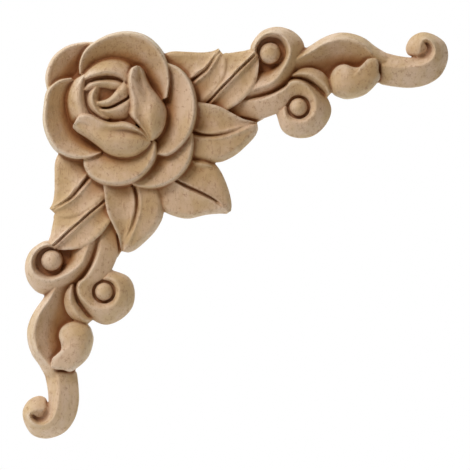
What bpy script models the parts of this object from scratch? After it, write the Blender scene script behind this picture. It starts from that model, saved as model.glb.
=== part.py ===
"""A carved wooden corner onlay: a rose on the corner of two mirrored arms of leaves and scrolls.

It is cut from one board, so it is one solid. Its flat back lies on the plane y = 0 and it faces -Y.
The first arm runs along +X, the second along -Z, and the origin is on the back behind the rose.
"""

import math

import bmesh
import bpy
from mathutils import Vector

# Driving dimensions, in metres.
LEG = 0.100  # from the scrolls' outer edge to the tip of the other arm
THICKNESS = 0.012  # from the back to the top of the rose
GROUND = 0.0018  # the board left standing at the bottom of the pits
EYE_OUTER = 0.0032  # and round the ball of the outer scroll
EYE_INNER = 0.0035  # round the ball of the inner scroll
CURL_EYE = 0.0035  # and in the curl at the tail's end
ROSE_FLOOR = 0.0030  # under the rose's petals
HEART_FLOOR = 0.0083  # and under the curls of its heart

# Plan positions below are hundredths of LEG and heights are twelfths of THICKNESS: millimetres, as drawn.
PLAN = LEG / 100
RISE = THICKNESS / 12
BED = 0.0006  # how far the forms run on behind the back before it is sawn flat
BED_STEP = 0.00001  # no two forms end on one plane there

STEPS_PER_RIB = 2  # stations between two ribs of a strip
OUTLINE_STEPS = 2  # stations between two points of a mound's outline

WOOD_COLOUR = (0.53, 0.36, 0.23, 1.0)
WOOD_ROUGHNESS = 0.62


def smooth(values, share):
    """The smooth curve through evenly spaced values, read at a share from 0 to 1 of its length."""
    if len(values) == 1:
        return values[0]
    place = share * (len(values) - 1)
    i = min(int(place), len(values) - 2)
    t = place - i
    b, c = values[i], values[i + 1]
    a = values[i - 1] if i else b * 2 - c
    d = values[i + 2] if i + 2 < len(values) else c * 2 - b
    return (b * 2 + (c - a) * t + (a * 2 - b * 5 + c * 4 - d) * t**2 + (b * 3 - a - c * 3 + d) * t**3) / 2


def lesser(a, b, blend):
    """The smaller of two heights, with the edge between them rounded over."""
    mix = max(0.0, min(1.0, 0.5 + (b - a) / (2 * blend)))
    return b + (a - b) * mix - blend * mix * (1 - mix)


def ridge(inner, crest, outer, crest_at, cup=1.6, roll=2.2, edge=0.35):
    """A face that rises from its inner edge to a rounded crest and rolls over to its outer edge."""

    def height(s, t, width):
        low, top, foot = smooth(inner, s), smooth(crest, s), smooth(outer, s)
        at = smooth(crest_at, s)
        rising = low + (top - low) * (t / at) ** cup
        beyond = max(0.0, (t - at) / (1 - at))
        falling = foot + (top - foot) * (1 - beyond**roll)
        return lesser(rising, falling, edge)

    return height


def blade(first, spine, second, groove, cup, cut, bevel=(1.2, 1.2), drop=(0.9, 0.9), flank=0.3):
    """A leaf's face: two cupped halves, a bevelled edge, and a V cut between two low flanks on the spine."""

    def height(s, t, width):
        side = 0 if t < 0.5 else 1
        out = abs(t - 0.5) * 2
        middle, edge = smooth(spine, s), smooth((first, second)[side], s)
        face = middle + (edge - middle) * out - cup[side] * 4 * out * (1 - out)
        face -= drop[side] * max(0.0, 1 - (1 - out) * width / bevel[side]) ** 2
        depth = smooth(groove, s)
        face += min(flank, depth) * math.exp(-(((out * width - 1.2 * cut) / (0.7 * cut)) ** 2))
        return face - depth * max(0.0, 1 - out * width / cut)

    return height


def tongue(edge, crest, dip, swell, foot, marks):
    """A bud petal: an edge, a rolled lip, a hollow behind the lip, then a swelling back that rolls away."""

    def height(s, t, width):
        levels = [smooth(row, s) for row in (edge, crest, dip, swell)]
        at = [0.0] + [smooth(row, s) for row in marks]
        for k in range(3):
            if t <= at[k + 1]:
                x = (t - at[k]) / (at[k + 1] - at[k])
                ease = x * x * (3 - 2 * x) if k else math.sin(x * math.pi / 2)
                return levels[k] + (levels[k + 1] - levels[k]) * ease
        x = (t - at[3]) / (1 - at[3])
        low = smooth(foot, s)
        return low + (levels[3] - low) * math.sqrt(max(0.0, 1 - x**2.4))

    return height


def close_down(bm, number):
    """Drops straight sides from the open rim of a carved face to the bed, and shuts them off below."""
    rim = [e for e in bm.edges if e.is_boundary]
    sides = bmesh.ops.extrude_edge_only(bm, edges=rim)["geom"]
    for v in sides:
        if isinstance(v, bmesh.types.BMVert):
            v.co.y = BED + BED_STEP * number
    foot = [e for e in sides if isinstance(e, bmesh.types.BMEdge)]
    bmesh.ops.contextual_create(bm, geom=[e for e in foot if e.is_boundary])
    bmesh.ops.recalc_face_normals(bm, faces=bm.faces)
    bmesh.ops.triangulate(bm, faces=bm.faces)


forms = []  # the closed solids that the board's relief is made of


def keep(name, bm, mirrored):
    """Stores a form, and for an arm its mirror image across the corner's diagonal as well."""
    mesh = bpy.data.meshes.new(name)
    bm.to_mesh(mesh)
    forms.append((name, mesh))
    if mirrored:
        for v in bm.verts:
            v.co.x, v.co.z = -v.co.z, -v.co.x
            v.co.y += BED_STEP / 2 if v.co.y > 0 else 0
        bmesh.ops.reverse_faces(bm, faces=bm.faces)
        mesh = bpy.data.meshes.new(name)
        bm.to_mesh(mesh)
        forms.append((name + "_mirrored", mesh))
    bm.free()


def strip(name, ribs, height, across, mirrored=False):
    """A form drawn by ribs: each rib has two or three plan points, from its inner to its outer edge."""
    lines = [[Vector((rib[k][0], 0, rib[k][1])) for rib in ribs] for k in range(len(ribs[0]))]
    stations = (len(ribs) - 1) * STEPS_PER_RIB
    bm = bmesh.new()
    bmesh.ops.create_grid(bm, x_segments=stations, y_segments=len(across) - 1, size=0.5)
    for v in bm.verts:
        s = v.co.x + 0.5
        t = across[round((v.co.y + 0.5) * (len(across) - 1))]
        points = [smooth(line, s) for line in lines]
        span = min(int(t * (len(points) - 1)), len(points) - 2)
        start, end = points[span], points[span + 1]
        place = start.lerp(end, t * (len(points) - 1) - span)
        rise = max(height(s, t, (end - start).length), GROUND / RISE)
        v.co = (place.x * PLAN, -rise * RISE, place.z * PLAN)
    close_down(bm, len(forms) + 1)
    keep(name, bm, mirrored)


def mound(name, outline, centre, height, rings, mirrored=False):
    """A form drawn by its outline, with height(share of the way out, share of the way round) for its top."""
    points = [Vector((x, 0, z)) for x, z in outline]
    loop = points[-1:] + points + points[:2]
    count = len(points) * OUTLINE_STEPS
    bm = bmesh.new()
    bmesh.ops.create_uvsphere(bm, u_segments=count, v_segments=2 * rings, radius=1)
    lower = [v for v in bm.verts if v.co.z < -0.01]
    bmesh.ops.delete(bm, geom=lower, context="VERTS")
    middle = Vector((centre[0], 0, centre[1]))
    for v in bm.verts:
        turn = (math.atan2(v.co.y, v.co.x) / math.tau) % 1
        out = min(1.0, math.hypot(v.co.x, v.co.y))
        rim = smooth(loop, (1 + turn * len(points)) / (len(loop) - 1))
        place = middle.lerp(rim, out)
        v.co = (place.x * PLAN, -height(out, turn) * RISE, place.z * PLAN)
    close_down(bm, len(forms) + 1)
    keep(name, bm, mirrored)


def circle(centre, radius, points=8):
    """Points round a circle."""
    turns = [math.tau * k / points for k in range(points)]
    return [(centre[0] + radius * math.cos(a), centre[1] + radius * math.sin(a)) for a in turns]


def level(height):
    return lambda out, turn: height / RISE


def dome(edge, top, power=2.0):
    """A rounded top that falls from its middle to an edge height, which may change on the way round."""

    def height(out, turn):
        low = smooth(edge, turn)
        return low + (top - low) * math.sqrt(max(0.0, 1 - out**power))

    return height


PETAL_ACROSS = (0, 0.35, 0.68, 0.88, 1)
LEAF_ACROSS = (0, 0.1, 0.28, 0.455, 0.5, 0.545, 0.72, 0.9, 1)


def make_petals():
    """The six open petals round the bud, lowest first."""
    strip(
        "petal_back",
        [
            ((-9.5, 3.5), (-17.0, 4.0)),
            ((-9.5, 6.0), (-17.7, 8.2)),
            ((-8.5, 8.5), (-16.2, 12.5)),
            ((-7.0, 10.0), (-12.9, 15.4)),
            ((-5.5, 11.0), (-8.9, 16.5)),
            ((-4.0, 11.5), (-5.5, 16.6)),
        ],
        ridge([2.2], [4.9, 5.5, 5.7, 5.7, 5.5, 5.2], [2.8], [0.9], cup=1.8),
        PETAL_ACROSS,
    )
    strip(
        "petal_low",
        [
            ((3.0, -14.0), (4.2, -17.8)),
            ((6.0, -13.0), (8.0, -18.4)),
            ((8.5, -11.5), (11.8, -17.6)),
            ((10.0, -10.0), (15.4, -15.4)),
            ((11.0, -8.5), (17.8, -11.8)),
            ((12.5, -6.5), (18.6, -7.8)),
            ((14.0, -4.5), (18.4, -4.8)),
        ],
        ridge([4.2], [5.8, 6.4, 6.8, 7.0, 7.0, 6.7, 6.2], [3.2], [0.85], cup=1.0),
        PETAL_ACROSS,
    )
    strip(
        "petal_left",
        [
            ((-9.0, 6.0), (-11.5, 7.9)),
            ((-10.0, 4.5), (-14.6, 7.2)),
            ((-10.5, 3.0), (-17.2, 4.8)),
            ((-11.0, 1.0), (-17.9, 1.2)),
            ((-11.0, -1.5), (-18.0, -3.0)),
            ((-10.0, -3.7), (-16.8, -6.9)),
            ((-8.5, -5.2), (-14.6, -9.9)),
            ((-6.5, -6.4), (-11.0, -11.6)),
            ((-4.5, -7.4), (-7.2, -11.5)),
            ((-2.8, -8.2), (-4.0, -10.2)),
        ],
        ridge([3.4], [6.6, 7.2, 7.7, 7.9, 8.0, 8.0, 8.0, 8.0, 7.8, 7.0], [2.8], [0.87], cup=1.2),
        PETAL_ACROSS,
    )
    strip(
        "petal_bottom",
        [
            ((-5.5, -9.5), (-8.0, -11.0)),
            ((-5.0, -10.0), (-7.9, -13.3)),
            ((-4.0, -10.0), (-6.3, -16.0)),
            ((-2.0, -9.8), (-2.8, -17.8)),
            ((0.5, -9.5), (1.2, -18.0)),
            ((3.0, -9.0), (5.0, -16.9)),
            ((5.0, -8.0), (8.0, -14.2)),
            ((6.3, -7.0), (9.8, -10.7)),
            ((6.8, -6.0), (9.8, -7.2)),
        ],
        ridge(
            [5.4],
            [6.2, 7.0, 7.6, 8.0, 8.2, 8.4, 8.6, 8.7, 8.1],
            [3.8],
            [0.86, 0.86, 0.86, 0.86, 0.84, 0.8, 0.76, 0.72, 0.7],
            cup=0.8,
        ),
        PETAL_ACROSS,
    )
    strip(
        "petal_right",
        [
            ((9.5, 9.5), (11.6, 12.1)),
            ((10.5, 8.5), (14.8, 10.7)),
            ((11.0, 6.0), (17.6, 7.6)),
            ((11.0, 3.0), (19.0, 3.2)),
            ((11.0, 0.0), (19.0, -1.0)),
            ((10.3, -3.0), (17.8, -5.0)),
            ((9.3, -5.0), (15.4, -8.4)),
            ((8.5, -6.2), (12.4, -10.4)),
            ((8.0, -6.8), (9.8, -10.2)),
        ],
        ridge([4.4], [7.2, 8.0, 8.5, 8.8, 8.8, 8.5, 8.1, 7.7, 7.0], [3.6], [0.87], cup=0.8),
        PETAL_ACROSS,
    )
    strip(
        "petal_top",
        [
            ((-5.5, 7.5), (-9.6, 8.8)),
            ((-5.5, 8.5), (-9.6, 11.5)),
            ((-4.8, 9.5), (-8.4, 14.6)),
            ((-3.5, 10.0), (-5.8, 16.9)),
            ((-1.5, 10.3), (-1.9, 18.8)),
            ((1.0, 10.0), (2.5, 19.4)),
            ((3.5, 9.0), (6.6, 18.3)),
            ((5.5, 7.5), (9.9, 15.4)),
            ((7.0, 5.5), (11.8, 11.8)),
            ((8.0, 3.5), (12.4, 8.0)),
            ((8.5, 2.0), (11.9, 3.8)),
        ],
        ridge([4.0], [7.2, 8.0, 8.5, 8.8, 9.0, 9.1, 9.1, 9.0, 8.8, 8.4, 7.8], [3.0], [0.89], cup=1.1),
        PETAL_ACROSS,
    )


def make_bud():
    """The closed bud: two wrapping petals, two tongues rolled over at the lip, and the heart's curls."""
    strip(
        "bud_left",
        [
            ((-7.9, 8.0), (-8.4, 8.9)),
            ((-7.9, 6.8), (-10.7, 7.4)),
            ((-8.0, 5.0), (-12.0, 5.2)),
            ((-7.9, 3.0), (-12.5, 2.6)),
            ((-7.5, 1.2), (-12.2, 0.0)),
            ((-6.8, -0.3), (-11.2, -2.6)),
            ((-5.4, -1.6), (-9.2, -4.6)),
        ],
        ridge([8.8], [9.6, 10.2, 10.4, 10.4, 10.3, 10.0, 9.4], [4.2], [0.24], cup=0.7, roll=2.2),
        (0, 0.1, 0.24, 0.55, 0.85, 1),
    )
    strip(
        "bud_top",
        [
            ((-7.7, 7.2), (-8.4, 9.2)),
            ((-6.3, 7.7), (-6.8, 10.9)),
            ((-4.4, 8.1), (-4.6, 12.4)),
            ((-2.4, 8.3), (-2.0, 13.1)),
            ((-0.4, 8.0), (0.6, 13.0)),
            ((0.9, 7.3), (2.8, 12.0)),
            ((1.7, 6.3), (4.2, 10.4)),
        ],
        ridge([8.8], [9.8, 10.5, 10.9, 11.0, 10.8, 10.4, 9.8], [4.4], [0.17], cup=0.7, roll=2.0),
        (0, 0.08, 0.18, 0.5, 0.84, 1),
    )
    mound("heart_floor", circle((-2.0, 2.0), 8.2), (-2.0, 2.0), level(HEART_FLOOR), 1)
    strip(
        "heart_top",
        [
            ((-7.5, 4.6), (-8.1, 5.1)),
            ((-6.0, 5.1), (-7.1, 6.4)),
            ((-4.4, 5.5), (-5.1, 7.2)),
            ((-2.8, 5.4), (-2.5, 7.5)),
            ((-1.2, 5.0), (-0.2, 7.3)),
            ((0.2, 5.2), (1.3, 6.7)),
        ],
        ridge([8.8], [9.6, 10.2, 10.5, 10.6, 10.5, 10.2], [8.8], [0.6], cup=0.5, roll=1.8),
        (0, 0.3, 0.6, 1),
    )
    strip(
        "heart_left",
        [
            ((-4.0, 5.7), (-6.0, 5.3)),
            ((-4.2, 4.6), (-6.9, 4.4)),
            ((-4.4, 3.4), (-7.3, 2.9)),
            ((-4.2, 2.2), (-7.1, 1.4)),
            ((-3.9, 0.9), (-6.2, -0.1)),
            ((-3.4, -0.2), (-4.9, -1.2)),
            ((-2.7, -0.9), (-3.5, -2.0)),
            ((-1.7, -1.3), (-2.2, -2.2)),
        ],
        ridge(
            [8.2, 8.2, 8.4, 8.8, 9.2, 9.4, 9.4, 9.2],
            [10.2, 10.7, 10.9, 10.9, 10.8, 10.5, 10.1, 9.6],
            [8.8],
            [0.55],
            cup=0.8,
            roll=1.6,
        ),
        (0, 0.3, 0.55, 1),
    )
    strip(
        "heart_fold",
        [
            ((-4.7, 2.2), (-4.7, 1.3)),
            ((-3.7, 2.4), (-3.4, 0.9)),
            ((-2.6, 2.8), (-1.9, 1.05)),
            ((-1.6, 3.5), (-0.6, 1.7)),
            ((-0.7, 4.6), (0.9, 2.6)),
            ((0.4, 5.9), (2.3, 3.6)),
            ((1.3, 7.1), (2.8, 5.4)),
        ],
        ridge([9.6], [10.5, 10.9, 11.1, 11.2, 11.2, 11.0, 10.6], [9.7], [0.34], cup=0.4, roll=1.8),
        (0, 0.28, 0.6, 1),
    )
    strip(
        "heart_low",
        [
            ((-4.3, 0.5), (-4.2, -0.6)),
            ((-3.4, 0.4), (-3.3, -1.3)),
            ((-2.2, 0.45), (-1.9, -1.9)),
            ((-0.7, 0.9), (-0.2, -2.2)),
            ((0.9, 1.8), (1.6, -1.9)),
            ((2.2, 2.6), (2.8, -0.8)),
            ((2.8, 3.1), (3.1, 1.0)),
        ],
        ridge([9.7], [10.2, 10.6, 10.8, 10.8, 10.7, 10.5, 10.1], [8.6], [0.2], cup=0.4, roll=1.5),
        (0, 0.18, 0.6, 1),
    )
    strip(
        "bud_right",
        [
            ((4.1, 10.9), (5.0, 10.9)),
            ((2.9, 10.1), (6.1, 9.8)),
            ((2.2, 8.0), (6.9, 7.9)),
            ((2.3, 5.6), (8.2, 5.8)),
            ((2.8, 3.3), (10.1, 3.6)),
            ((2.9, 1.2), (11.7, 1.0)),
            ((2.9, -0.8), (11.8, -1.8)),
            ((4.4, -2.6), (11.1, -4.2)),
            ((6.2, -4.5), (9.9, -5.9)),
            ((7.7, -6.3), (8.5, -6.9)),
        ],
        tongue(
            edge=[9.6, 9.8, 9.9, 9.9, 9.8, 9.6, 9.4, 9.2, 9.0, 8.6],
            crest=[10.4, 11.5, 12.0, 12.0, 11.8, 11.4, 11.2, 10.8, 10.1, 9.2],
            dip=[10.2, 11.2, 11.7, 11.7, 11.3, 10.9, 10.5, 10.1, 9.8, 9.0],
            swell=[9.5, 9.4, 9.2, 9.5, 10.4, 11.4, 11.6, 11.1, 10.2, 9.1],
            foot=[7.0, 6.0, 5.6, 5.4, 5.2, 5.0, 5.0, 5.2, 5.6, 6.0],
            marks=(
                (0.2, 0.2, 0.18, 0.16, 0.14, 0.13, 0.14, 0.14),
                (0.3, 0.3, 0.28, 0.28, 0.3, 0.32, 0.34, 0.34),
                (0.72, 0.72, 0.7, 0.66, 0.58, 0.54, 0.54, 0.56),
            ),
        ),
        (0, 0.15, 0.44, 0.68, 0.88, 1),
    )
    strip(
        "bud_bottom",
        [
            ((-10.5, -3.6), (-10.6, -4.2)),
            ((-8.9, -1.1), (-9.4, -5.3)),
            ((-6.4, -0.9), (-7.3, -6.6)),
            ((-3.8, -2.1), (-5.0, -8.2)),
            ((-1.2, -2.7), (-2.4, -10.2)),
            ((1.6, -2.4), (0.8, -11.2)),
            ((4.2, -3.2), (4.2, -10.9)),
            ((6.2, -4.8), (7.0, -9.2)),
            ((7.9, -6.8), (8.2, -7.4)),
        ],
        tongue(
            edge=[8.6, 9.4, 9.7, 9.7, 9.6, 9.6, 9.5, 9.2, 8.6],
            crest=[9.0, 10.8, 11.2, 11.2, 11.2, 11.4, 11.3, 10.6, 9.4],
            dip=[8.9, 10.5, 10.8, 10.8, 10.4, 9.9, 9.6, 9.4, 8.9],
            swell=[8.4, 9.4, 10.0, 10.7, 11.1, 11.3, 11.0, 10.1, 8.9],
            foot=[6.6, 5.8, 5.4, 5.2, 5.2, 5.2, 5.2, 5.4, 6.0],
            marks=(
                (0.16, 0.14, 0.12, 0.12, 0.13, 0.13, 0.12, 0.1, 0.1),
                (0.36, 0.34, 0.32, 0.3, 0.26, 0.24, 0.22, 0.2, 0.2),
                (0.54, 0.52, 0.52, 0.54, 0.54, 0.5, 0.46, 0.46, 0.48),
            ),
        ),
        (0, 0.12, 0.26, 0.55, 0.84, 1),
    )


def make_leaves():
    """Three leaves on each arm and one on the diagonal; the ribs give edge, spine and edge."""
    strip(
        "leaf_diagonal",
        [
            ((14.0, -9.0), (11.0, -14.5), (6.0, -17.0)),
            ((19.0, -10.6), (15.0, -16.5), (9.8, -20.0)),
            ((22.7, -11.3), (17.5, -17.7), (10.8, -22.9)),
            ((24.6, -13.1), (20.0, -18.7), (13.5, -24.4)),
            ((26.1, -15.9), (22.0, -19.6), (17.3, -25.1)),
            ((27.2, -18.9), (23.8, -20.6), (21.5, -24.1)),
            ((27.7, -21.4), (25.5, -22.0), (24.8, -23.7)),
            ((27.6, -23.0), (27.1, -23.3), (26.6, -23.7)),
        ],
        blade(
            [3.4, 3.6, 3.7, 3.8, 3.8, 3.6, 3.4, 3.0],
            [5.0, 5.0, 5.0, 4.9, 4.7, 4.4, 3.9, 3.2],
            [3.4, 3.6, 3.7, 3.8, 3.8, 3.6, 3.4, 3.0],
            [1.4, 1.8, 2.0, 2.0, 2.0, 1.9, 0.0, 0.0],
            cup=(0.35, 0.1),
            cut=0.4,
            bevel=(1.7, 1.7),
            drop=(1.4, 1.4),
            flank=0.15,
        ),
        LEAF_ACROSS,
    )
    strip(
        "leaf_fold",
        [
            ((17.6, -10.6), (17.8, -11.6)),
            ((18.9, -10.9), (18.9, -12.9)),
            ((20.5, -11.1), (20.3, -13.4)),
            ((21.9, -11.6), (21.9, -13.0)),
            ((22.9, -12.3), (22.8, -12.8)),
        ],
        ridge([3.2], [4.0, 4.5, 4.6, 4.4, 3.8], [3.2], [0.35], cup=0.8, roll=1.4),
        (0, 0.35, 0.7, 1),
    )
    strip(
        "leaf_inner",
        [
            ((15.0, 3.5), (15.0, -3.0), (14.0, -9.0)),
            ((19.0, 2.8), (18.0, -4.3), (18.0, -10.6)),
            ((21.9, 2.4), (20.5, -5.0), (21.5, -11.3)),
            ((24.4, 1.8), (23.0, -5.05), (24.8, -11.3)),
            ((27.2, 0.4), (26.0, -4.5), (28.1, -9.7)),
            ((29.9, -0.9), (28.9, -3.5), (30.8, -7.3)),
            ((32.1, -1.4), (31.6, -2.4), (32.9, -4.9)),
            ((33.3, -1.7), (33.4, -2.2), (33.6, -3.2)),
        ],
        blade(
            [6.2, 6.4, 6.5, 6.4, 6.0, 5.4, 4.7, 4.0],
            [4.4, 4.8, 5.1, 5.3, 5.3, 5.1, 4.6, 3.9],
            [4.0, 4.2, 4.3, 4.3, 4.2, 4.0, 3.8, 3.5],
            [1.6, 1.8, 1.8, 1.6, 1.2, 0.6, 0.1, 0.0],
            cup=(1.0, -0.1),
            cut=0.62,
            bevel=(0.7, 1.6),
            drop=(0.5, 1.4),
            flank=0.35,
        ),
        LEAF_ACROSS,
        mirrored=True,
    )
    strip(
        "leaf_middle",
        [
            ((20.0, 7.0), (18.8, 0.4), (23.0, -1.6)),
            ((22.3, 10.5), (21.6, 3.1), (26.0, 0.9)),
            ((24.6, 14.4), (24.2, 6.0), (28.9, 2.9)),
            ((26.5, 14.8), (26.8, 8.8), (31.4, 5.5)),
            ((29.0, 15.2), (29.2, 11.4), (32.8, 8.2)),
            ((31.0, 15.8), (31.2, 13.4), (33.3, 11.2)),
            ((32.6, 16.1), (32.6, 15.0), (33.3, 13.6)),
        ],
        blade(
            [3.2, 3.6, 3.8, 3.8, 3.8, 3.9, 4.0],
            [3.6, 4.2, 5.0, 5.4, 5.4, 5.2, 4.7],
            [4.4, 5.0, 5.7, 5.8, 5.6, 5.3, 4.8],
            [0.6, 1.2, 1.4, 1.4, 1.4, 1.2, 0.8],
            cup=(0.1, 1.1),
            cut=0.5,
            bevel=(1.2, 1.1),
            drop=(0.8, 0.9),
            flank=0.7,
        ),
        LEAF_ACROSS,
        mirrored=True,
    )
    strip(
        "leaf_outer",
        [
            ((8.0, 12.8), (13.0, 4.6), (17.0, -0.5)),
            ((12.0, 14.7), (16.6, 7.3), (20.8, 2.9)),
            ((16.0, 14.8), (18.8, 9.0), (23.2, 5.2)),
            ((19.3, 14.75), (20.6, 10.5), (24.9, 8.0)),
            ((21.6, 15.0), (21.9, 12.3), (25.7, 11.0)),
            ((22.8, 15.4), (22.9, 13.9), (25.2, 13.6)),
            ((23.6, 15.9), (23.8, 15.5), (24.2, 15.1)),
        ],
        blade(
            [4.2, 4.3, 4.3, 4.2, 4.0, 3.8, 3.5],
            [4.6, 5.0, 5.4, 5.5, 5.4, 5.0, 4.3],
            [5.2, 5.5, 5.7, 5.8, 5.7, 5.2, 4.4],
            [1.6, 2.0, 1.9, 1.6, 1.2, 0.7, 0.2],
            cup=(0.5, 1.15),
            cut=0.62,
            bevel=(1.2, 1.1),
            drop=(0.8, 1.1),
            flank=0.4,
        ),
        LEAF_ACROSS,
        mirrored=True,
    )


BALL_OUTER = (35.95, 15.0)
BALL_INNER = (43.05, 2.25)


def make_scrolls():
    """Each arm's two volutes with a ball in the eye, the husk between them, the rolled leaf and the tail."""
    strip(
        "ground",
        [
            ((12.0, -3.0), (12.0, 13.0)),
            ((23.0, -1.5), (21.0, 14.0)),
            ((33.0, -1.7), (30.5, 15.6)),
            ((41.0, 4.5), (39.0, 16.8)),
            ((56.0, 8.0), (55.0, 16.0)),
        ],
        lambda s, t, width: GROUND / RISE,
        (0, 1),
        mirrored=True,
    )
    strip(
        "scroll_outer",
        [
            ((29.6, 8.6), (29.0, 3.2)),
            ((32.9, 10.4), (33.2, 4.5)),
            ((35.4, 10.7), (36.9, 5.7)),
            ((37.4, 12.1), (40.4, 7.9)),
            ((39.0, 13.6), (42.6, 11.2)),
            ((39.5, 15.3), (44.2, 14.6)),
            ((39.0, 17.0), (43.7, 18.1)),
            ((37.8, 18.3), (41.0, 20.6)),
            ((36.1, 18.7), (37.4, 21.4)),
            ((34.4, 18.2), (34.1, 20.4)),
            ((33.3, 17.1), (32.1, 18.3)),
            ((32.8, 15.6), (31.2, 16.1)),
            ((33.2, 14.2), (32.2, 14.4)),
        ],
        ridge(
            [2.4, 2.2, 2.0, 2.2, 3.0, 3.4, 3.6, 3.6, 3.6, 3.6, 3.6, 3.6, 4.0],
            [4.4, 5.2, 5.9, 6.4, 6.7, 6.8, 6.8, 6.6, 6.4, 6.2, 5.9, 5.5, 4.8],
            [2.8, 2.6, 2.4, 2.4, 2.6, 2.8, 2.8, 2.8, 2.8, 2.8, 2.8, 3.0, 3.4],
            [0.6, 0.62, 0.56, 0.38, 0.26, 0.22, 0.24, 0.3, 0.36, 0.36, 0.34, 0.34, 0.4],
            cup=0.9,
            roll=1.45,
            edge=0.6,
        ),
        (0, 0.25, 0.45, 0.75, 1),
        mirrored=True,
    )
    mound("eye_floor_outer", circle((36.1, 15.9), 3.6, 7), (36.6, 16.1), level(EYE_OUTER), 1, mirrored=True)
    mound("ball_outer", circle(BALL_OUTER, 2.5), BALL_OUTER, dome([3.6], 6.3, 2.2), 3, mirrored=True)
    x, z = BALL_INNER
    turn = [
        (x + 2.85 * math.cos(math.radians(a)), z + 2.85 * math.sin(math.radians(a)))
        for a in (160, 125, 95, 60, 25, -10, -45, -80, -115, -148, -185)
    ]
    strip(
        "scroll_inner",
        [
            ((25.0, 0.4), (25.0, 1.0)),
            ((29.5, -0.3), (29.5, 3.9)),
            ((33.5, -0.8), (33.5, 4.6)),
            ((36.6, 0.1), (37.0, 5.8)),
            ((39.0, 1.4), (39.9, 7.6)),
            (turn[0], (41.0, 8.9)),
            (turn[1], (43.0, 9.2)),
            (turn[2], (45.3, 8.5)),
            (turn[3], (47.7, 6.9)),
            (turn[4], (49.9, 4.8)),
            (turn[5], (51.0, 1.5)),
            (turn[6], (49.5, -2.1)),
            (turn[7], (46.5, -4.6)),
            (turn[8], (42.6, -5.0)),
            (turn[9], (39.4, -3.4)),
            (turn[10], (37.9, 0.4)),
        ],
        ridge(
            [2.6, 2.6, 2.8, 3.2, 3.8, 4.4, 4.6, 4.6, 4.6, 4.6, 4.6, 4.6, 4.6, 4.6, 4.4, 4.0],
            [3.0, 3.8, 4.9, 5.6, 6.0, 6.2, 6.3, 6.3, 6.2, 6.1, 6.0, 5.9, 5.8, 5.7, 5.5, 4.9],
            [2.8, 2.8, 2.6, 2.4, 2.4, 2.4, 2.4, 2.4, 2.6, 2.6, 2.6, 2.6, 2.6, 2.6, 2.6, 2.8],
            [0.8, 0.8, 0.8, 0.82, 0.82, 0.82, 0.8, 0.7, 0.5, 0.32, 0.22, 0.2, 0.2, 0.22, 0.24, 0.26],
            cup=0.8,
            roll=1.5,
        ),
        (0, 0.22, 0.5, 0.82, 1),
        mirrored=True,
    )
    mound("eye_floor_inner", circle((43.7, 2.0), 3.9, 7), (44.0, 1.9), level(EYE_INNER), 1, mirrored=True)
    mound("ball_inner", circle(BALL_INNER, 2.17), BALL_INNER, dome([3.9], 6.1, 2.2), 3, mirrored=True)
    strip(
        "husk",
        [
            ((41.3, 9.4), (41.6, 10.3)),
            ((43.5, 9.25), (43.4, 11.4)),
            ((45.7, 8.5), (46.0, 11.7)),
            ((47.8, 7.0), (48.5, 10.8)),
            ((49.2, 5.7), (50.3, 8.9)),
            ((49.7, 4.6), (51.2, 6.3)),
        ],
        ridge(
            [2.6],
            [4.6, 5.6, 6.1, 6.1, 5.6, 4.7],
            [3.6, 4.0, 4.2, 4.1, 3.7, 3.3],
            [0.42],
            cup=0.45,
            roll=1.6,
        ),
        (0, 0.25, 0.6, 1),
        mirrored=True,
    )
    strip(
        "rolled_leaf",
        [
            ((41.5, 9.5), (42.6, 15.4)),
            ((44.6, 9.8), (45.2, 16.9)),
            ((48.0, 9.6), (48.4, 19.0)),
            ((51.2, 9.4), (51.8, 20.3)),
            ((54.4, 9.2), (55.2, 20.3)),
            ((57.6, 9.2), (58.5, 19.2)),
            ((60.4, 9.6), (61.0, 17.4)),
            ((63.0, 10.4), (63.8, 15.8)),
            ((65.6, 11.0), (66.4, 14.8)),
        ],
        ridge(
            [3.2, 2.6, 2.2, 1.9, 2.1, 2.4, 3.0, 3.2, 2.8],
            [5.4, 6.2, 6.8, 7.0, 7.0, 6.8, 6.2, 4.9, 3.6],
            [2.8, 2.6, 2.6, 2.6, 2.6, 2.6, 2.6, 2.6, 2.6],
            [0.7, 0.74, 0.8, 0.82, 0.82, 0.78, 0.66, 0.55, 0.5],
            cup=2.1,
            roll=1.35,
        ),
        (0, 0.35, 0.64, 0.82, 1),
        mirrored=True,
    )
    mound(
        "bulb",
        [
            (62.2, 9.3),
            (61.9, 11.5),
            (61.8, 13.2),
            (61.2, 14.2),
            (59.4, 14.1),
            (58.3, 13.1),
            (57.2, 12.1),
            (55.8, 12.1),
            (53.9, 12.7),
            (52.0, 12.2),
            (50.7, 10.6),
            (50.3, 8.3),
            (51.2, 5.9),
            (52.9, 4.9),
            (55.3, 4.6),
            (59.2, 5.9),
        ],
        (55.4, 9.0),
        dome([5.2, 6.4, 6.6, 5.8, 5.2, 3.6, 3.0, 3.0, 5.2], 7.6, 2.1),
        3,
        mirrored=True,
    )
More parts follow.
